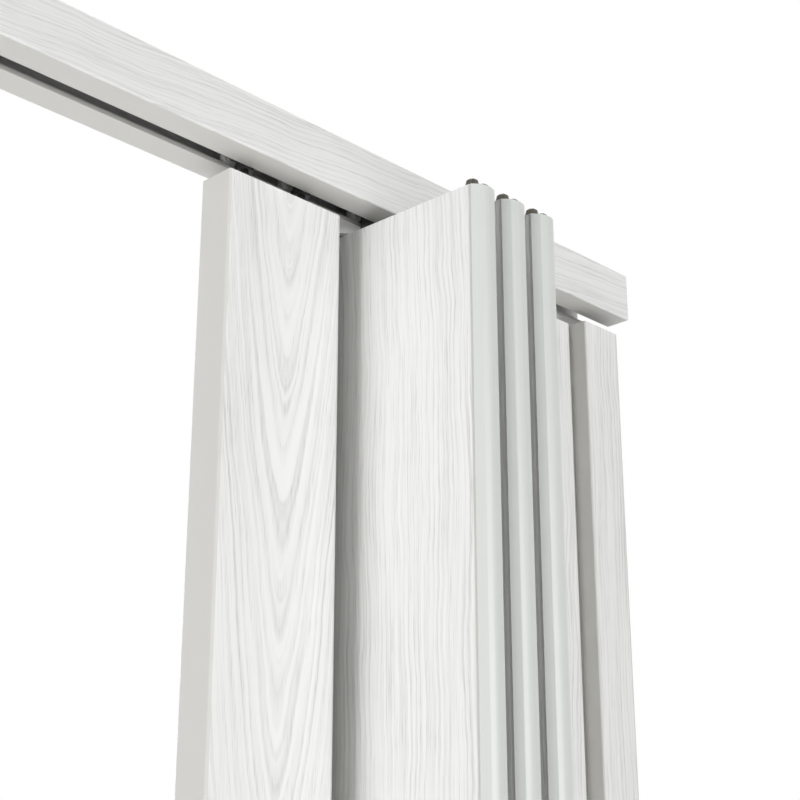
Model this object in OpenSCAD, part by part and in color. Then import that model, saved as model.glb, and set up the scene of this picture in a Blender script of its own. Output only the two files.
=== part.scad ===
// Top-hung accordion door, folded up at the right-hand end of its head rail.
// Origin: centre of the rail's screw holes on its top face. X runs along the rail towards the fixed
// jamb, Y through the doorway, Z up. The folded stack is worked out from the jamb leftwards.

/* [Head rail] */
// Length of the head rail
rail_l = 850; // [835:5:900]
// Width of the rail across the doorway
rail_w = 40; // [36:0.5:46]
// Height of the rail
rail_h = 29; // [28:0.5:34]
// Wall of the rail
rail_wall = 1.8; // [1.4:0.1:2.2]
// Thickness of the two lips that carry the wheels
lip_t = 2.5; // [2:0.1:3]
// Width of the slot between the lips
slot_w = 9.2; // [9:0.1:10]
// Pitch of the four screw holes in the rail
rail_hole_pitch = 230; // [200:5:250]
// Diameter of every wall and ceiling screw hole
screw_hole_d = 4.5; // [4:0.1:5.5]

/* [Panels] */
// Height of the panels
panel_h = 2000; // [1900:10:2100]
// Width of a panel from end to end
panel_w = 92; // [88:0.5:93]
// Thickness of a panel
panel_t = 8.2; // [8:0.1:9]
// Thickness of the panel faces
face_t = 1.4; // [1.1:0.1:1.6]
// Gap between the rail and the panel tops
top_gap = 9; // [8.6:0.1:12]
// Gap between the panel bottoms and the floor
floor_gap = 12; // [8:1:20]
// Lean of each panel in the folded stack, in degrees
stack_angle = 1.416; // [1.2:0.1:3]

/* [Hinge strips] */
// Half the distance between the two hinge axes of a strip
bead_x = 6.7; // [6.7:0.05:7.2]
// Radius of the bead that turns in the panel
bead_r = 1.3; // [1.2:0.05:1.35]
// Radial play of a bead in its socket
bead_play = 0.05; // [0.03:0.01:0.08]
// Thickness of the rib that carries a bead
rib_t = 0.8; // [0.7:0.05:0.9]
// How far the strip stands out from the panel ends
strip_depth = 4.75; // [4.6:0.05:5.2]

/* [Lead panel and jamb] */
// Width of the lead panel
lead_w = 72.5; // [70:0.5:80]
// Thickness of the lead panel
lead_t = 21.5; // [20:0.5:24]
// Width of the jamb post along the wall
jamb_w = 30.9; // [29:0.1:34]
// Depth of the jamb post
jamb_t = 28; // [27:0.5:32]

/* [Handle] */
// Distance between the handle screws
handle_pitch = 96; // [90:1:110]
// Height of the handle's middle above the floor
handle_z = 1050; // [950:10:1150]

/* [Trolleys] */
// Diameter of the trolley wheels
wheel_d = 8; // [7.6:0.1:8.4]
// Width of a wheel
wheel_w = 3.5; // [3:0.1:3.8]
// Diameter of the hanging stems
stem_d = 4; // [3.8:0.1:4.1]

/* [Hidden] */
$fn = 48;

foil = "white";
plain = "whitesmoke";
steel = "dimgray";
black = "#202020";

// Hinge: a bead turns in a socket two wall thicknesses in from the panel corner
pivot_in = 2;
socket_r = bead_r + bead_play;
rib_play = 0.12;
rib_slant = 25;
mouth_half = rib_t / 2 + rib_play;
mouth_reach = (pivot_in + 0.5) / sin(rib_slant);
hinge_sweep = 85;
bead_slip = 0.15;
pivot_u = panel_t - 2 * pivot_in;
pivot_v = panel_w - 2 * pivot_in;

// Folded stack, counted from the jamb
step_x = 2 * bead_x - pivot_u * cos(stack_angle) + pivot_v * sin(stack_angle);
stack_dy = pivot_u * sin(stack_angle) + pivot_v * cos(stack_angle);
wall_x = rail_l / 2;
jamb_x1 = wall_x - 4.5;
jamb_x0 = jamb_x1 - jamb_w;
jamb_gap = 1.4;
fixed_x1 = jamb_x0 - jamb_gap;
fixed_x0 = fixed_x1 - panel_w;
joiner_reach = 10.3;
joiner_gap = 0.1;
back_x = [for (i = [0:3]) fixed_x0 - joiner_reach - bead_x - 2 * step_x * (3 - i)];
front_x = [for (i = [1:3]) back_x[i] - step_x];
lead_x1 = back_x[0] - bead_x - joiner_reach;
lead_x0 = lead_x1 - lead_w;
back_plane = 10.28;
back_pivot_y = back_plane - pivot_in;
front_pivot_y = back_pivot_y - stack_dy;
front_plane = front_pivot_y - pivot_in;

// Heights
panel_top = -rail_h - top_gap;
panel_bottom = panel_top - panel_h;
floor_z = panel_bottom - floor_gap;

// Panel screws, in the solid end block beside each hinge
screw_u = 4.85;
screw_v = 2.9;
panel_screw_d = 2;
panel_channel_d = 2.1;
head_r = 3.05;
head_side = 1.45;
head_dome = 1.48;
collar_r = 3.4;
collar_t = 2.2;
screw_d = 2.5;
channel_d = 2.6;
end_block = 6.5;
panel_cells = 5;
cell_web = 1;

// Strips: the front ones sit just inside the panel height, the back ones carry the panels
front_strip_in = 0.2;
back_strip_up = 0.3;
back_strip_down = 0.1;
strip_screw_y = (strip_depth + bead_slip) / 2;

// Trolleys and hangers
wheel_play = 0.1;
axle_d = 2.4;
axle_play = 0.05;
axle_z = -rail_h + lip_t + wheel_d / 2 + wheel_play;
wheel_y = 4.9;
axle_head = 0.6;
axle_l = 2 * (wheel_y + wheel_w + axle_head);
guide_x0 = 0.2;
guide_x1 = 9.6;
block_x0 = 2.4;
block_x1 = 10.1;
block_half = 3.9;
shoe_x0 = 4.8;
guide_drop = 1.2;
guide_play = 0.4;
guide_half = slot_w / 2 - guide_play;
shoe_z0 = -rail_h + lip_t + 0.2;
shoe_t = 2;
shoe_half = 8;
body_top = -rail_h + 10;
stem_dx = 4.9;
stem_play = 0.1;
stem_top = body_top + 4.5;
nut_h = 3.2;
nut_af = 7;
strip_to_wheel = 9.4;
wheel_x = [lead_x0 + 12.55, lead_x0 + 50.15, for (b = back_x) b + strip_to_wheel];
plate_t = 1.5;
plate_z = panel_top + back_strip_up;
plate_r = 6;
strap_half = 5;
pan_r = 2.6;
pan_h = 1.8;
pan_l = 16;
washer_r = 7;
washer_t = 1.2;

// Lead panel and handle
lead_wall = 1.8;
lead_web = 1.4;
lead_webs = [30, 41];
groove_block = 6.5;
plug_l = 30;
plug_play = 0.1;
lead_cap_t = 2;
plug_screw_z = panel_top - 15;
handle_x = lead_x0 + 18;
handle_cz = floor_z + handle_z;
handle_w = 14;
handle_h = 32;
handle_grip = 10;
handle_end = 14;
handle_screw_d = 4;
handle_bore_d = 4.2;

// Flat outline with its own radius at each corner, listed from the origin anticlockwise
module outline(w, h, r) {
    polygon([[r[0], 0], [w - r[1], 0], [w, r[1]], [w, h - r[2]],
        [w - r[2], h], [r[3], h], [0, h - r[3]], [0, r[0]]]);
    translate([r[0], r[0]]) circle(r[0]);
    translate([w - r[1], r[1]]) circle(r[1]);
    translate([w - r[2], h - r[2]]) circle(r[2]);
    translate([r[3], h - r[3]]) circle(r[3]);
}

// Straight run of material from the origin along an angle
module run(angle, length, half) {
    rotate(angle) translate([0, -half]) square([length, 2 * half]);
}

// Open mouth of a socket: every place that the rib reaches as the hinge turns
module mouth(from, to) {
    circle(socket_r);
    run(from, mouth_reach, mouth_half);
    run(to, mouth_reach, mouth_half);
    polygon([[0, 0], for (i = [0:4]) let (a = from + (to - from) * i / 4) mouth_reach * [cos(a), sin(a)]]);
}

// Panel section: u across the thickness, v from the front end, same both ways up
module panel_section() {
    shut = 360 - rib_slant - stack_angle;
    difference() {
        outline(panel_t, panel_w, [pivot_in, 0.5, pivot_in, 0.5]);
        for (end = [0, 1])
            translate([panel_t / 2, panel_w / 2]) rotate(180 * end)
                translate([-panel_t / 2, -panel_w / 2]) {
                    translate([pivot_in, pivot_in]) mouth(shut - hinge_sweep, shut);
                    translate([screw_u, screw_v]) circle(d = panel_channel_d);
                }
        cell_l = (panel_w - 2 * end_block + cell_web) / panel_cells;
        for (i = [0:panel_cells - 1])
            translate([face_t, end_block + i * cell_l])
                square([panel_t - 2 * face_t, cell_l - cell_web]);
    }
}

// Places a child drawn in panel coordinates on folding panel i, 1 at the lead panel, 6 at the jamb
module on_panel(i) {
    turned = i % 2 == 0;
    strip = front_x[ceil(i / 2) - 1];
    translate([strip, front_pivot_y]) mirror([turned ? 1 : 0, 0]) translate([-bead_x, 0])
        rotate(stack_angle) translate([-pivot_in, -pivot_in]) children();
}

module panel(i) {
    color(foil) translate([0, 0, panel_bottom]) linear_extrude(panel_h) on_panel(i) panel_section();
}

// Domed screw with a cross recess, its collar standing on the origin plane
module domed_screw(shank) {
    ball = (head_r * head_r + head_dome * head_dome) / (2 * head_dome);
    top = collar_t + head_side + head_dome;
    difference() {
        rotate_extrude() {
            square([collar_r, collar_t]);
            square([head_r, collar_t + head_side]);
            translate([0, collar_t]) intersection() {
                square([head_r, head_side + head_dome]);
                translate([0, head_side + head_dome - ball]) circle(ball, $fn = 96);
            }
        }
        for (a = [0, 90]) rotate(a) translate([-1.4, -0.3, top - 1]) cube([2.8, 0.6, 2]);
    }
    translate([0, 0, -shank]) cylinder(d = panel_screw_d, h = shank);
}

// The domed screws of panel i keep its front strip between their heads, top and bottom
module panel_screws(i) {
    color(steel) {
        translate([0, 0, panel_top]) on_panel(i) translate([screw_u, screw_v]) domed_screw(14);
        translate([0, 0, panel_bottom]) on_panel(i) translate([screw_u, screw_v])
            rotate([180, 0, 0]) domed_screw(14);
    }
}

// Outer form of a hinge strip: flat back, sloping shoulders, gently curved front, blunt edges
module strip_form(wall, back) {
    slope = 1.12;
    bow_r = 11.3;
    reach = 9.1 - wall * sqrt(1 + slope * slope);
    tip_x = min(8.75, reach + slope * (-bead_slip - back));
    y0 = -bead_slip - back;
    y1 = -strip_depth + wall;
    y_tip = (tip_x - reach) / slope;
    intersection() {
        polygon([[-tip_x, y0], [tip_x, y0], [tip_x, y_tip], [reach + slope * y1, y1],
            [-reach - slope * y1, y1], [-tip_x, y_tip]]);
        translate([0, -strip_depth + bow_r]) circle(bow_r - wall, $fn = 96);
    }
}

// Hollow bow of a strip, with a screw channel through its core
module strip_bow() {
    difference() {
        strip_form(0, 0);
        difference() {
            strip_form(1.3, 1);
            square([4.6, 4 * strip_depth], center = true);
        }
        translate([0, -strip_screw_y]) circle(d = channel_d);
    }
}

// Two beads on slanting ribs, which run into the back of the bow
module strip_beads() {
    for (side = [-1, 1]) translate([side * bead_x, pivot_in]) {
        circle(bead_r);
        run(side > 0 ? 180 + rib_slant : 360 - rib_slant, (pivot_in + 0.6) / sin(rib_slant), rib_t / 2);
    }
}

module strip(length) {
    linear_extrude(length) strip_bow();
    linear_extrude(length) strip_beads();
}

module front_strip(i) {
    color(plain) translate([front_x[i - 1], front_plane, panel_bottom + front_strip_in])
        strip(panel_h - 2 * front_strip_in);
}

module back_strip(i) {
    color(plain) translate([back_x[i - 1], back_plane, panel_bottom - back_strip_down])
        mirror([0, 1, 0]) strip(panel_h + back_strip_up + back_strip_down);
}

// Joiner section, drawn from the strip's bead at the origin towards the panel at minus x:
// a fixed socket for the strip, a tapering hollow body, and a straight bead for the panel
module joiner_section() {
    edge = -joiner_reach + joiner_gap;
    far = joiner_reach + pivot_in;
    drop = back_pivot_y - pivot_in - 0.1;
    difference() {
        union() {
            circle(pivot_in);
            polygon([[0, pivot_in], [edge, pivot_in], [edge, -13.4], [edge + 1.6, -13.4],
                [pivot_in, -5.6], [pivot_in, 0]]);
        }
        circle(socket_r);
        run(rib_slant, 3.5, mouth_half);
        polygon([[edge + 1.4, pivot_in - 1.4], [edge + 1.4, -11.6], [edge + 1.8, -11.6],
            [-2.2, -6.6], [-2.2, pivot_in - 1.4]]);
    }
    translate([-far, -drop]) circle(bead_r);
    translate([-far, -drop - rib_t / 2]) square([far + edge + 0.5, rib_t]);
}

module joiner(x, flip) {
    color(plain) translate([x, back_pivot_y, panel_bottom]) linear_extrude(panel_h)
        mirror([flip, 0]) joiner_section();
}

module lead_joiner() { joiner(back_x[0] - bead_x, 0); }

module fixed_joiner() { joiner(back_x[3] + bead_x, 1); }

// The fixed panel is the same extrusion, turned into the plane of the doorway
module fixed_panel() {
    color(foil) translate([fixed_x0, panel_t / 2, panel_bottom]) linear_extrude(panel_h)
        rotate(-90) panel_section();
}

module head_rail() {
    color(foil) difference() {
        rotate([90, 0, 90]) linear_extrude(rail_l, center = true) difference() {
            translate([-rail_w / 2, -rail_h]) outline(rail_w, rail_h, [0.6, 0.6, 0.6, 0.6]);
            translate([-rail_w / 2 + rail_wall, -rail_h + lip_t])
                square([rail_w - 2 * rail_wall, rail_h - lip_t - rail_wall]);
            translate([-slot_w / 2, -rail_h - 1]) square([slot_w, lip_t + 2]);
        }
        for (i = [-1.5:1.5]) translate([i * rail_hole_pitch, 0, -rail_wall - 1])
            cylinder(d = screw_hole_d, h = rail_wall + 2);
    }
}

// Wall channel: a flat web on the wall, two flanges that the jamb post slides over
channel_half = 10.2;
channel_l = 23;
channel_t = 1.2;
web_t = 1.6;
post_h = panel_top - floor_z;
wall_hole_pitch = 500;
module wall_channel() {
    color("gainsboro") difference() {
        translate([0, 0, floor_z]) linear_extrude(post_h) difference() {
            translate([wall_x - channel_l, -channel_half]) square([channel_l, 2 * channel_half]);
            translate([wall_x - channel_l - 1, -channel_half + channel_t])
                square([channel_l + 1 - web_t, 2 * (channel_half - channel_t)]);
        }
        for (i = [-1.5:1.5])
            translate([wall_x - web_t - 1, 0, floor_z + post_h / 2 + i * wall_hole_pitch])
                rotate([0, 90, 0]) cylinder(d = screw_hole_d, h = web_t + 2);
    }
}

// Jamb post: hollow cover that grips the wall channel and holds the fixed panel's edge
post_wall = 1.8;
grip = 0.1;
module jamb_post() {
    inner = jamb_w - 2 * post_wall;
    hook_x = wall_x - channel_l - 1.4;
    color(foil) translate([0, 0, floor_z]) linear_extrude(post_h) {
        difference() {
            translate([jamb_x0, -jamb_t / 2]) outline(jamb_w, jamb_t, [0.8, 0.4, 0.4, 0.8]);
            translate([jamb_x0 + post_wall, -jamb_t / 2 + post_wall])
                square([inner, jamb_t - 2 * post_wall]);
            translate([jamb_x1 - post_wall - 1, -channel_half - grip])
                square([post_wall + 2, 2 * (channel_half + grip)]);
        }
        translate([hook_x - 1.2, -jamb_t / 2 + 1]) square([1.2, jamb_t - 2]);
        for (side = [-1, 1])
            translate([hook_x - 0.5, side * (channel_half - channel_t - grip) - (side > 0 ? 1.2 : 0)])
                square([7, 1.2]);
        translate([fixed_x1 - pivot_in, -panel_t / 2 + pivot_in]) {
            circle(bead_r);
            translate([0, -rib_t / 2]) square([pivot_in + jamb_gap + 0.5, rib_t]);
        }
    }
}

// Bays of the lead panel between its walls and webs: start and end from its left edge
lead_bays = [[lead_wall, lead_webs[0] - lead_web / 2],
    [lead_webs[0] + lead_web / 2, lead_webs[1] - lead_web / 2],
    [lead_webs[1] + lead_web / 2, lead_w - groove_block]];
stem_bays = [lead_bays[0], lead_bays[2]];

module lead_bay(bay, play) {
    translate([lead_x0 + bay[0] + play, -lead_t / 2 + lead_wall + play])
        square([bay[1] - bay[0] - 2 * play, lead_t - 2 * (lead_wall + play)]);
}

module lead_form() {
    translate([lead_x0, -lead_t / 2]) outline(lead_w, lead_t, [1.5, 0.8, 0.8, 1.5]);
}

// Groove down the lead panel's edge for the bead of its joiner
module lead_groove() {
    translate([lead_x1 - pivot_in, pivot_in + 0.1]) {
        circle(socket_r);
        run(0, 4, mouth_half);
    }
}

module lead_panel() {
    color(foil) difference() {
        translate([0, 0, panel_bottom + lead_cap_t]) linear_extrude(panel_h - lead_cap_t) difference() {
            lead_form();
            for (bay = lead_bays) lead_bay(bay, 0);
            lead_groove();
        }
        for (side = [-1, 1]) translate([handle_x, 0, handle_cz + side * handle_pitch / 2])
            rotate([90, 0, 0]) cylinder(d = handle_bore_d, h = lead_t + 2, center = true);
        for (i = [0, 1]) translate([plug_x(i), lead_t / 2 + 1, plug_screw_z])
            rotate([90, 0, 0]) cylinder(d = 3, h = lead_wall + 2);
    }
}

function stem_x(i) = wheel_x[i] + stem_dx;
function plug_x(i) = stem_x(i) + 8;

// Plugs pressed into the two outer bays carry the stems
module lead_top_plugs() {
    color("lightgray") for (i = [0, 1]) difference() {
        translate([0, 0, panel_top - plug_l]) linear_extrude(plug_l) lead_bay(stem_bays[i], plug_play);
        translate([stem_x(i), 0, panel_top - 24]) cylinder(d = stem_d, h = 25);
        translate([plug_x(i), lead_t / 2, plug_screw_z]) rotate([90, 0, 0]) cylinder(d = 2.8, h = 16);
    }
}

module lead_bottom_cap() {
    color(plain) translate([0, 0, panel_bottom]) {
        linear_extrude(lead_cap_t) difference() {
            lead_form();
            lead_groove();
        }
        linear_extrude(14) difference() {
            for (bay = lead_bays) lead_bay(bay, plug_play);
            for (bay = lead_bays) lead_bay(bay, 1.6);
        }
    }
}

module hex_nut() {
    difference() {
        cylinder(d = nut_af / cos(30), h = nut_h, $fn = 6);
        translate([0, 0, -1]) cylinder(d = stem_d, h = nut_h + 2);
    }
}

// Threaded stems of the lead panel, a lock nut below and a carrying nut above each trolley
module lead_fasteners() {
    color(steel) for (i = [0, 1]) {
        translate([stem_x(i), 0, panel_top - 24]) cylinder(d = stem_d, h = stem_top - panel_top + 24);
        translate([stem_x(i), 0, panel_top]) hex_nut();
        translate([stem_x(i), 0, body_top]) hex_nut();
        translate([plug_x(i), lead_t / 2, plug_screw_z]) rotate([-90, 0, 0]) pan_screw(14);
    }
}

// Bow handle: an arch across, rounded along its outer edges, standing on the face at y = 0
module bow_handle() {
    half = handle_pitch / 2 + handle_end;
    outer_r = (half * half + handle_h * handle_h) / (2 * handle_h);
    inner_half = handle_pitch / 2 - handle_end + 4;
    inner_h = handle_h - handle_grip;
    inner_r = (inner_half * inner_half + inner_h * inner_h) / (2 * inner_h);
    intersection() {
        rotate([0, -90, 0]) linear_extrude(handle_w, center = true) difference() {
            intersection() {
                translate([0, handle_h - outer_r]) circle(outer_r, $fn = 128);
                translate([-half, 0]) square([2 * half, handle_h]);
            }
            translate([0, inner_h - inner_r]) circle(inner_r, $fn = 128);
        }
        translate([0, 0, -half - 1]) linear_extrude(2 * half + 2)
            translate([-handle_w / 2, 0]) outline(handle_w, handle_h + 1, [0.3, 0.3, 5, 5]);
    }
}

module handle_front() {
    color(plain) translate([handle_x, -lead_t / 2, handle_cz]) mirror([0, 1, 0]) difference() {
        bow_handle();
        for (side = [-1, 1]) translate([0, -1, side * handle_pitch / 2]) rotate([-90, 0, 0])
            cylinder(d = handle_screw_d, h = 11);
    }
}

module handle_back() {
    color(plain) translate([handle_x, lead_t / 2, handle_cz]) difference() {
        bow_handle();
        for (side = [-1, 1]) translate([0, 0, side * handle_pitch / 2]) rotate([-90, 0, 0]) {
            translate([0, 0, -1]) cylinder(d = handle_bore_d, h = 40);
            translate([0, 0, 6]) cylinder(d = 7.6, h = 30);
        }
    }
}

module handle_screws() {
    color(steel) for (side = [-1, 1])
        translate([handle_x, lead_t / 2 + 6, handle_cz + side * handle_pitch / 2]) rotate([-90, 0, 0]) {
            difference() {
                cylinder(r = 3.5, h = 2.4);
                for (a = [0, 90]) rotate(a) translate([-1.8, -0.3, 1.2]) cube([3.6, 0.6, 2]);
            }
            translate([0, 0, -6 - lead_t - 9]) cylinder(d = handle_screw_d, h = 15 + lead_t);
        }
}

// Pan-head screw, its head standing on the origin plane
module pan_screw(shank) {
    difference() {
        rotate_extrude() intersection() {
            square([pan_r, pan_h]);
            translate([0, pan_h - 2 * pan_r]) circle(2 * pan_r);
        }
        for (a = [0, 90]) rotate(a) translate([-1.2, -0.25, pan_h - 0.9]) cube([2.4, 0.5, 1]);
    }
    translate([0, 0, -shank]) cylinder(d = screw_d, h = shank);
}

// Hanger: a flat strap from the strip's end forward to the slot, with its stem welded on
module hanger(i) {
    x0 = back_x[i - 1];
    x1 = x0 + strip_to_wheel + stem_dx;
    y0 = back_plane + strip_screw_y;
    span = sqrt((x1 - x0) * (x1 - x0) + y0 * y0);
    color("silver") {
        translate([0, 0, plate_z]) linear_extrude(plate_t) difference() {
            union() {
                translate([x0, y0]) circle(plate_r);
                translate([x1, 0]) circle(plate_r);
                translate([x0, y0]) run(atan2(-y0, x1 - x0), span, strap_half);
            }
            translate([x0, y0]) circle(d = channel_d);
        }
        translate([x1, 0, plate_z]) cylinder(d = stem_d, h = stem_top - plate_z);
    }
}

module hanger_fasteners(i) {
    x0 = back_x[i - 1];
    y0 = back_plane + strip_screw_y;
    low = panel_bottom - back_strip_down;
    color(steel) {
        translate([x0, y0, plate_z + plate_t]) pan_screw(pan_l);
        translate([x0, y0, low - washer_t]) {
            difference() {
                cylinder(r = washer_r, h = washer_t);
                translate([0, 0, -1]) cylinder(d = channel_d, h = washer_t + 2);
            }
            rotate([180, 0, 0]) pan_screw(pan_l);
        }
        translate([x0 + strip_to_wheel + stem_dx, 0, body_top]) hex_nut();
    }
}

// Trolley body: a nose between the wheels, a shoe above the lips, a six-sided guide in the slot
module trolley(i) {
    nose_r = 2.4;
    nose_half = 2.2;
    guide_half_x = (guide_x1 - guide_x0) / 2;
    guide_mid = (guide_x1 + guide_x0) / 2;
    color(black) translate([wheel_x[i - 1], 0, 0]) difference() {
        union() {
            translate([0, 0, axle_z]) rotate([90, 0, 0])
                cylinder(r = nose_r, h = 2 * nose_half, center = true);
            translate([0, -nose_half, axle_z - nose_r])
                cube([block_x0 + 1, 2 * nose_half, body_top - axle_z + nose_r]);
            translate([block_x0, -block_half, shoe_z0])
                cube([block_x1 - block_x0, 2 * block_half, body_top - shoe_z0]);
            translate([shoe_x0, -shoe_half, shoe_z0]) cube([block_x1 - shoe_x0, 2 * shoe_half, shoe_t]);
            translate([guide_mid, 0, -rail_h - guide_drop]) linear_extrude(shoe_z0 + rail_h + guide_drop + 1.6)
                polygon([for (s = [[-1, 0], [-0.5, -1], [0.5, -1], [1, 0], [0.5, 1], [-0.5, 1]])
                    [s[0] * guide_half_x, s[1] * guide_half]]);
        }
        translate([0, 0, axle_z]) rotate([90, 0, 0])
            cylinder(d = axle_d + 2 * axle_play, h = 20, center = true);
        translate([stem_dx, 0, -rail_h - 5]) cylinder(d = stem_d + 2 * stem_play, h = 30);
    }
}

module wheels(i) {
    color("ghostwhite") for (side = [0, 1]) translate([wheel_x[i - 1], 0, axle_z]) mirror([0, side, 0])
        translate([0, wheel_y, 0]) rotate([-90, 0, 0]) rotate_extrude() difference() {
            translate([axle_d / 2, 0]) square([(wheel_d - axle_d) / 2, wheel_w]);
            translate([axle_d / 2 + 1, -1]) square([1, 1.5]);
            translate([axle_d / 2 + 1, wheel_w - 0.5]) square([1, 1.5]);
        }
}

module axle(i) {
    color("silver") translate([wheel_x[i - 1], 0, axle_z]) rotate([90, 0, 0]) {
        cylinder(d = axle_d, h = axle_l, center = true);
        for (side = [0, 1]) mirror([0, 0, side])
            translate([0, 0, axle_l / 2 - axle_head]) cylinder(d = axle_d + 1.2, h = axle_head);
    }
}

head_rail();
jamb_post();
wall_channel();
fixed_panel();
fixed_joiner();
lead_panel();
lead_top_plugs();
lead_bottom_cap();
lead_joiner();
lead_fasteners();
handle_front();
handle_back();
handle_screws();
panel(1);  // panel_1
panel(2);  // panel_2
panel(3);  // panel_3
panel(4);  // panel_4
panel(5);  // panel_5
panel(6);  // panel_6
panel_screws(1);  // panel_1_screws
panel_screws(2);  // panel_2_screws
panel_screws(3);  // panel_3_screws
panel_screws(4);  // panel_4_screws
panel_screws(5);  // panel_5_screws
panel_screws(6);  // panel_6_screws
front_strip(1);  // front_strip_1
front_strip(2);  // front_strip_2
front_strip(3);  // front_strip_3
back_strip(1);  // back_strip_1
back_strip(2);  // back_strip_2
back_strip(3);  // back_strip_3
back_strip(4);  // back_strip_4
hanger(1);  // hanger_1
hanger(2);  // hanger_2
hanger(3);  // hanger_3
hanger(4);  // hanger_4
hanger_fasteners(1);  // hanger_1_fasteners
hanger_fasteners(2);  // hanger_2_fasteners
hanger_fasteners(3);  // hanger_3_fasteners
hanger_fasteners(4);  // hanger_4_fasteners
trolley(1);  // trolley_1
trolley(2);  // trolley_2
trolley(3);  // trolley_3
trolley(4);  // trolley_4
trolley(5);  // trolley_5
trolley(6);  // trolley_6
wheels(1);  // wheels_1
wheels(2);  // wheels_2
wheels(3);  // wheels_3
wheels(4);  // wheels_4
wheels(5);  // wheels_5
wheels(6);  // wheels_6
axle(1);  // axle_1
axle(2);  // axle_2
axle(3);  // axle_3
axle(4);  // axle_4
axle(5);  // axle_5
axle(6);  // axle_6
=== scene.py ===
"""Dresses the accordion door for rendering: white ash foil, plain extrusions, screws, nylon trolleys."""
import math

import bpy
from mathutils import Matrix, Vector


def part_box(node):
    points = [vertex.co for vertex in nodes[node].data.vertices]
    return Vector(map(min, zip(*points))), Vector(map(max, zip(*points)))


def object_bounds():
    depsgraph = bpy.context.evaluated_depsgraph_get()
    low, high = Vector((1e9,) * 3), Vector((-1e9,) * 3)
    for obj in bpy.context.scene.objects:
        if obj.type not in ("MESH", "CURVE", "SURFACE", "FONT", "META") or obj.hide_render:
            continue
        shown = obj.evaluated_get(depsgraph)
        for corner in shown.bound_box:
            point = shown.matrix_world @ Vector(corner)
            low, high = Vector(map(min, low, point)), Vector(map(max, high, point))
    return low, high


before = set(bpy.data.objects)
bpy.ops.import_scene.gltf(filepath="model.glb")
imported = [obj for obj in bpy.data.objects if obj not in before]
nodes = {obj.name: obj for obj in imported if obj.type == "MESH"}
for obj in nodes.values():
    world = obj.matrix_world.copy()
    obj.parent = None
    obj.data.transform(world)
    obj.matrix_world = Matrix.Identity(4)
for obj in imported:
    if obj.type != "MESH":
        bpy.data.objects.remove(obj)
cad_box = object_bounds()


# Helpers

def srgb(hex_code, darken=1.0):
    """Linear colour of an sRGB hex code such as "f1f1f0", times darken."""
    def linear(part):
        value = int(part, 16) / 255
        return value / 12.92 if value <= 0.04045 else ((value + 0.055) / 1.055) ** 2.4
    red, green, blue = (darken * linear(hex_code[i:i + 2]) for i in (0, 2, 4))
    return (red, green, blue, 1.0)


def add(tree, kind, inputs=None, **settings):
    """Adds a shader node. inputs maps a socket's name or number to a value or to a socket that feeds it."""
    made = tree.nodes.new("ShaderNode" + kind)
    for name, value in settings.items():
        setattr(made, name, value)
    for key, value in (inputs or {}).items():
        if isinstance(value, bpy.types.NodeSocket):
            tree.links.new(value, made.inputs[key])
        else:
            made.inputs[key].default_value = value
    return made


def maths(tree, operation, *values, clamp=False):
    return add(tree, "Math", dict(enumerate(values)), operation=operation, use_clamp=clamp).outputs[0]


def step_up(tree, value, low, high):
    """0 below low, 1 above high, smooth between."""
    return add(tree, "MapRange", {"Value": value, "From Min": low, "From Max": high},
               interpolation_type="SMOOTHSTEP").outputs["Result"]


def noise(tree, x, y, z, scale=1.0, detail=2.0, roughness=0.5):
    place = add(tree, "CombineXYZ", {0: x, 1: y, 2: z}).outputs[0]
    return add(tree, "TexNoise", {"Vector": place, "Scale": scale, "Detail": detail,
                                  "Roughness": roughness}).outputs["Fac"]


def board_noise(tree, across, along, fineness, seed, **settings):
    """Noise over a board. fineness is its features per unit of across and per metre along."""
    return noise(tree, maths(tree, "MULTIPLY", across, fineness[0]),
                 maths(tree, "MULTIPLY", along, fineness[1]), seed, **settings)


def mix(tree, amount, first, second):
    """Colour between first, at amount 0, and second, at 1."""
    made = add(tree, "Mix", {"Factor": amount}, data_type="RGBA")
    for socket, value in ((made.inputs[6], first), (made.inputs[7], second)):
        if isinstance(value, bpy.types.NodeSocket):
            tree.links.new(value, socket)
        else:
            socket.default_value = value
    return made.outputs[2]


def new_material(name):
    """A material, its tree, its shader and its three object coordinates in metres."""
    material = bpy.data.materials.new(name)
    material.use_nodes = True
    tree = material.node_tree
    shader = tree.nodes["Principled BSDF"]
    place = add(tree, "TexCoord").outputs["Object"]
    axes = add(tree, "SeparateXYZ", {0: place})
    return material, tree, shader, [axes.outputs[i] for i in range(3)]


def two_tone(tree, shader, amount, hex_code, darken):
    """Base colour from the hex colour, at amount 0, to the same colour times darken, at 1."""
    tree.links.new(mix(tree, amount, srgb(hex_code), srgb(hex_code, darken)), shader.inputs["Base Color"])


def bump(tree, shader, height, strength, distance):
    made = add(tree, "Bump", {"Height": height, "Strength": strength, "Distance": distance})
    tree.links.new(made.outputs[0], shader.inputs["Normal"])


# Materials

X, Y, Z = 0, 1, 2

FOIL = "f6f6f5"
FOIL_LINE = "cbcbc9"
# Colour of the bare sides, also laid over the boards' rounded corners as painted shade
BARE_SIDE_AND_CORNER_SHADE = "dcdbd7"
# Grey of the channel's inside: the bare core's colour, darkened as painted shade
CHANNEL_CORE_AND_SHADE = "c4c4c3"

# How each board was sawn: growth lines per metre across it, how much closer they get away from the
# heart, how many cross it in a metre of length, how far they sway, and the middle's distance from the heart
CROWN_CUT = (115.0, 1900.0, 28.0, 1.5, 0.0)
QUARTER_CUT = (330.0, 0.0, 3.0, 4.0, 0.3)
RIFT_CUT = (330.0, 0.0, 22.0, 3.4, 0.3)
HEART = 0.003

# Noises over a board. The first two and the last are per metre across it, the others per growth line.
# Growth lines are some 3 mm apart, pores are half a millimetre wide and about 20 mm long.
SWAY = (16.0, 12.0)
PORES = (1900.0, 45.0)
RING_DRIFT = (0.6, 3.0)
BAND_STRENGTH = (0.45, 5.0)
FIBRES = (3.3, 9.0)
CLOUDS = (30.0, 4.0)
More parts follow.
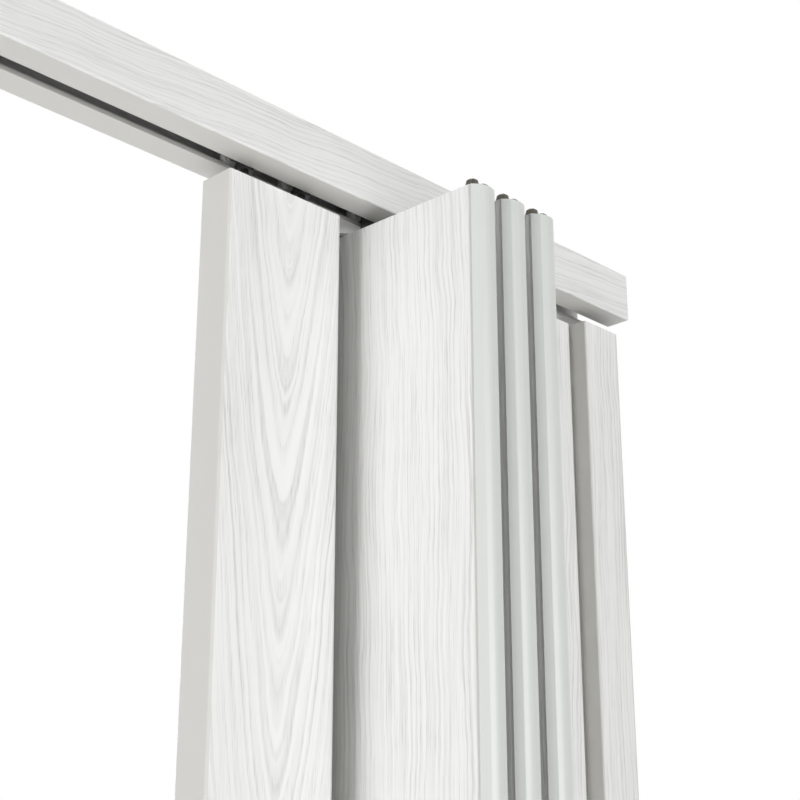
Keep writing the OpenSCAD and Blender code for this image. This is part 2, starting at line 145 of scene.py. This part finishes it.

# The inside of the rail's channel, which shows through the slot: a grey darker than the bare sides, partly the
# bare core's colour and partly painted shade in the recess
CHANNEL_HALF_WIDTH = 0.0184
CHANNEL_BOTTOM = -0.0268


def ash_foil(name, along, across, middle, face_from, face_to, seed, cut, face_axis=None, channel_core_and_shade=False):
    """White ash foil on PVC, embossed with open pores: satin, with grey lines that catch no light.

    Every line of the grain follows a growth line of the board, a being the distance across from its heart:
        growth = lines * sqrt(a^2 + HEART^2) + closing * a^2 - arches * along + sway * slow noise
    Past face_from and face_to, along face_axis, the piece is the plain colour of its bare edge, which on the
    boards also covers the rounded corners as painted shade.
    """
    lines, closing, arches, sway, heart = cut
    material, tree, shader, axes = new_material(name)
    length, width = axes[along], maths(tree, "SUBTRACT", axes[across], middle)
    warp = board_noise(tree, width, length, SWAY, seed, detail=3.0)
    from_heart = maths(tree, "ADD", width, heart)
    squared = maths(tree, "MULTIPLY", from_heart, from_heart)
    growth = maths(tree, "MULTIPLY", maths(tree, "SQRT", maths(tree, "ADD", squared, HEART * HEART)), lines)
    growth = maths(tree, "MULTIPLY_ADD", squared, closing, growth)
    growth = maths(tree, "MULTIPLY_ADD", length, -arches, growth)
    growth = maths(tree, "MULTIPLY_ADD", warp, sway, growth)

    # The dark late wood of each ring: it builds up slowly and ends sharply
    drift = board_noise(tree, growth, length, RING_DRIFT, seed + 3.0)
    ring = maths(tree, "FRACT", maths(tree, "MULTIPLY_ADD", drift, 1.4, growth))
    band = maths(tree, "MULTIPLY", step_up(tree, ring, 0.35, 0.85),
                 maths(tree, "SUBTRACT", 1.0, step_up(tree, ring, 0.93, 1.0)))
    strength = board_noise(tree, growth, length, BAND_STRENGTH, seed + 5.0)
    band = maths(tree, "MULTIPLY", band, step_up(tree, strength, 0.3, 0.7))
    # Fine lines between the rings, and pores that are densest on both
    fibre = step_up(tree, board_noise(tree, growth, length, FIBRES, seed + 7.0), 0.42, 0.72)
    streak = board_noise(tree, width, length, PORES, seed + 9.0, roughness=0.6)
    pores = maths(tree, "MULTIPLY", step_up(tree, streak, 0.46, 0.68),
                  maths(tree, "MULTIPLY_ADD", maths(tree, "MAXIMUM", band, fibre), 0.75, 0.15))

    cloud = board_noise(tree, width, length, CLOUDS, seed + 11.0)
    shade = maths(tree, "MULTIPLY_ADD", pores, 0.5, maths(tree, "MULTIPLY", band, 0.3))
    shade = maths(tree, "MULTIPLY_ADD", fibre, 0.3, shade)
    shade = maths(tree, "MULTIPLY", shade, maths(tree, "MULTIPLY_ADD", cloud, 0.8, 0.6), clamp=True)
    colour = mix(tree, shade, srgb(FOIL), srgb(FOIL_LINE))
    edge = axes[across if face_axis is None else face_axis]
    # Off the face the colour is the bare side colour; on the boards it also covers the rounded corners as
    # painted shade
    on_face = maths(tree, "MULTIPLY", maths(tree, "GREATER_THAN", edge, face_from),
                    maths(tree, "LESS_THAN", edge, face_to))
    colour = mix(tree, on_face, srgb(BARE_SIDE_AND_CORNER_SHADE), colour)
    if channel_core_and_shade:
        # Inside the rail's channel: a darker grey, partly the bare core and partly painted shade in the recess
        inside = maths(tree, "MULTIPLY",
                       maths(tree, "LESS_THAN", maths(tree, "ABSOLUTE", axes[Y]), CHANNEL_HALF_WIDTH),
                       maths(tree, "GREATER_THAN", axes[Z], CHANNEL_BOTTOM))
        colour = mix(tree, inside, colour, srgb(CHANNEL_CORE_AND_SHADE))
    tree.links.new(colour, shader.inputs["Base Color"])
    shader.inputs["Roughness"].default_value = 0.46
    shader.inputs["Specular IOR Level"].default_value = 0.35
    bump(tree, shader, maths(tree, "MULTIPLY", maths(tree, "SUBTRACT", 1.0, pores), on_face), 0.35, 0.00015)
    return material


def plain_extrusion(name, hex_code, gloss=0.36):
    """Bare satin PVC with the faint draw lines of the die running along it, about 1 mm apart."""
    material, tree, shader, (x, y, z) = new_material(name)
    draw = noise(tree, maths(tree, "MULTIPLY", x, 900.0), maths(tree, "MULTIPLY", y, 900.0),
                 maths(tree, "MULTIPLY", z, 1.5))
    two_tone(tree, shader, step_up(tree, draw, 0.3, 0.8), hex_code, 0.965)
    shader.inputs["Roughness"].default_value = gloss
    shader.inputs["Specular IOR Level"].default_value = 0.4
    bump(tree, shader, draw, 0.08, 0.00005)
    return material


def moulded_nylon(name, hex_code, rough):
    """Injection-moulded nylon: a dull sheen, broken by a spark-eroded texture of half a millimetre."""
    material, tree, shader, (x, y, z) = new_material(name)
    grain = noise(tree, x, y, z, scale=2200.0)
    two_tone(tree, shader, step_up(tree, grain, 0.3, 0.8), hex_code, 0.86)
    shader.inputs["Roughness"].default_value = rough
    bump(tree, shader, grain, 0.15, 0.00005)
    return material


def bare_metal(name, hex_code, rough):
    """Zinc-plated steel or mill aluminium: soft reflections with a faint uneven dullness."""
    material, tree, shader, (x, y, z) = new_material(name)
    dull = noise(tree, x, y, z, scale=700.0, detail=3.0)
    two_tone(tree, shader, step_up(tree, dull, 0.35, 0.7), hex_code, 0.8)
    shader.inputs["Metallic"].default_value = 1.0
    shader.inputs["Roughness"].default_value = rough
    bump(tree, shader, dull, 0.1, 0.00005)
    return material


def dress(node, material):
    for slot in nodes[node].material_slots:
        slot.material = material


# Foiled boards. The foil stops EDGE short of a board's sides, which are bare. The bare colour also covers each
# board's rounded corner, as painted shade that dims its highlight.

EDGE = 0.0012
JAMB_GAP = 0.0014
RAIL_MIDDLE = -0.010
BEFORE_ALL = -1.0


def span(node, axis):
    low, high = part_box(node)
    return low[axis], high[axis]


def dress_foil(node, along, across, seed, cut=QUARTER_CUT, low=None, shift=0.0):
    """low is given where the piece's box starts before its foiled face does."""
    box_low, high = span(node, across)
    low = box_low if low is None else low
    middle = (low + high) / 2 + shift
    dress(node, ash_foil("ash_foil_" + node, along, across, middle, low + EDGE, high - EDGE, seed, cut))


dress_foil("lead_panel", Z, X, 4.0, CROWN_CUT, shift=0.002)
dress_foil("jamb_post", Z, X, 21.0, low=span("fixed_panel", X)[1] + JAMB_GAP)
dress_foil("fixed_panel", Z, X, 17.0)
for number in range(1, 7):
    dress_foil("panel_%d" % number, Z, Y, 30.0 + 5.0 * number)
rail_front = span("head_rail", Y)[0]
dress("head_rail", ash_foil("ash_foil_head_rail", X, Z, RAIL_MIDDLE, BEFORE_ALL, rail_front + EDGE, 9.0,
                            RIFT_CUT, face_axis=Y, channel_core_and_shade=True))


# Everything else

strip_pvc = plain_extrusion("satin_pvc_strip", "dcdfdb")
edge_pvc = plain_extrusion("satin_pvc_joiner", "dcdbd7")
handle_abs = plain_extrusion("white_abs_handle", "e9e9e7", gloss=0.22)
mill_aluminium = bare_metal("mill_aluminium", "c9cbcd", 0.4)
dark_zinc = bare_metal("dark_zinc_screw", "5e5c55", 0.3)
bright_zinc = bare_metal("bright_zinc_hanger", "a9abae", 0.35)
black_nylon = moulded_nylon("black_nylon_trolley", "1c1c1e", 0.5)
white_nylon = moulded_nylon("white_nylon_wheel", "ececea", 0.4)
grey_nylon = moulded_nylon("natural_nylon_plug", "c9c9c6", 0.5)

for number in range(1, 4):
    dress("front_strip_%d" % number, strip_pvc)
for number in range(1, 5):
    dress("back_strip_%d" % number, strip_pvc)
    dress("hanger_%d" % number, bright_zinc)
    dress("hanger_%d_fasteners" % number, dark_zinc)
for number in range(1, 7):
    dress("panel_%d_screws" % number, dark_zinc)
    dress("trolley_%d" % number, black_nylon)
    dress("wheels_%d" % number, white_nylon)
    dress("axle_%d" % number, bright_zinc)
for name in ("lead_joiner", "fixed_joiner", "lead_bottom_cap"):
    dress(name, edge_pvc)
for name in ("handle_front", "handle_back"):
    dress(name, handle_abs)
for name in ("lead_fasteners", "handle_screws"):
    dress(name, dark_zinc)
dress("wall_channel", mill_aluminium)
dress("lead_top_plugs", grey_nylon)


# Camera: solved from the straight edges of the photograph

CAMERA_AT = (-0.3124, -0.5473, -0.4034)
CAMERA_YAW = 45.699
CAMERA_PITCH = 19.835
FOCAL_PX = 1608.2
FRAME_PX = 800

lens = bpy.data.cameras.new("camera")
lens.sensor_width = 36.0
lens.lens = FOCAL_PX / FRAME_PX * lens.sensor_width
lens.clip_start = 0.02
camera = bpy.data.objects.new("camera", lens)
camera.location = CAMERA_AT
camera.rotation_euler = (math.radians(90 + CAMERA_PITCH), 0.0, math.radians(-CAMERA_YAW))
bpy.context.scene.collection.objects.link(camera)
bpy.context.scene.camera = camera


# Studio

WHITE = (1.0, 1.0, 1.0, 1.0)
AMBIENT = 0.12
FLOOR_REACH = 12.0
FADE_FROM, FADE_TO = 0.6, 4.5


def background_ray(tree):
    """1 on camera, glossy and transmission rays, which see the backdrop as white."""
    rays = add(tree, "LightPath").outputs
    seen = maths(tree, "MAXIMUM", rays["Is Camera Ray"], rays["Is Glossy Ray"])
    return maths(tree, "MAXIMUM", seen, rays["Is Transmission Ray"])


def studio_world():
    world = bpy.data.worlds.new("studio")
    bpy.context.scene.world = world
    world.use_nodes = True
    tree = world.node_tree
    shade = mix(tree, background_ray(tree), (AMBIENT, AMBIENT, AMBIENT, 1.0), WHITE)
    tree.links.new(shade, tree.nodes["Background"].inputs["Color"])


def studio_floor(level):
    """Pale matt floor. It keeps the shadow near the door, and far from it fades into the white backdrop."""
    mesh = bpy.data.meshes.new("floor")
    corners = [(x * FLOOR_REACH, y * FLOOR_REACH, level) for x, y in ((-1, -1), (1, -1), (1, 1), (-1, 1))]
    mesh.from_pydata(corners, [], [(0, 1, 2, 3)])
    floor = bpy.data.objects.new("floor", mesh)
    bpy.context.scene.collection.objects.link(floor)
    material = bpy.data.materials.new("pale_floor")
    material.use_nodes = True
    tree = material.node_tree
    shader = tree.nodes["Principled BSDF"]
    shader.inputs["Base Color"].default_value = srgb("e6e6e5")
    shader.inputs["Roughness"].default_value = 0.8
    place = add(tree, "TexCoord").outputs["Object"]
    distance = add(tree, "VectorMath", {0: place, 1: (0.0, 0.0, level)}, operation="DISTANCE").outputs["Value"]
    fade = maths(tree, "MULTIPLY", background_ray(tree), step_up(tree, distance, FADE_FROM, FADE_TO))
    backdrop = add(tree, "Emission", {"Color": WHITE, "Strength": 1.0}).outputs[0]
    surface = add(tree, "MixShader", {0: fade, 1: shader.outputs[0], 2: backdrop}).outputs[0]
    tree.links.new(surface, tree.nodes["Material Output"].inputs["Surface"])
    mesh.materials.append(material)


def soft_lamp(name, at, target, size, watts):
    """Round lamp of size metres across at a place, turned towards its target."""
    light = bpy.data.lights.new(name, "AREA")
    light.shape = "DISK"
    light.size = size
    light.energy = watts
    lamp = bpy.data.objects.new(name, light)
    lamp.location = at
    aim = [t - a for a, t in zip(at, target)]
    flat = math.hypot(aim[0], aim[1])
    lamp.rotation_euler = (math.atan2(flat, -aim[2]), 0.0, math.atan2(aim[1], aim[0]) - math.pi / 2)
    bpy.context.scene.collection.objects.link(lamp)


# Large lamps far off: left and front light what the photograph shows, back and top the other sides
# and the floor, and together they render a colour about as it is written
studio_world()
studio_floor(cad_box[0][2])
soft_lamp("left", (-4.2, -0.3, -0.5), (0.1, 0.0, -0.4), 2.2, 104.0)
soft_lamp("front", (1.0, -4.4, 0.1), (0.2, 0.0, -0.4), 2.2, 104.0)
soft_lamp("back", (2.4, 4.2, 0.2), (0.1, 0.0, -0.6), 2.2, 110.0)
soft_lamp("top", (0.3, 1.0, 4.5), (0.1, 0.0, -2.0), 2.4, 170.0)

bpy.context.scene.view_settings.view_transform = "Standard"
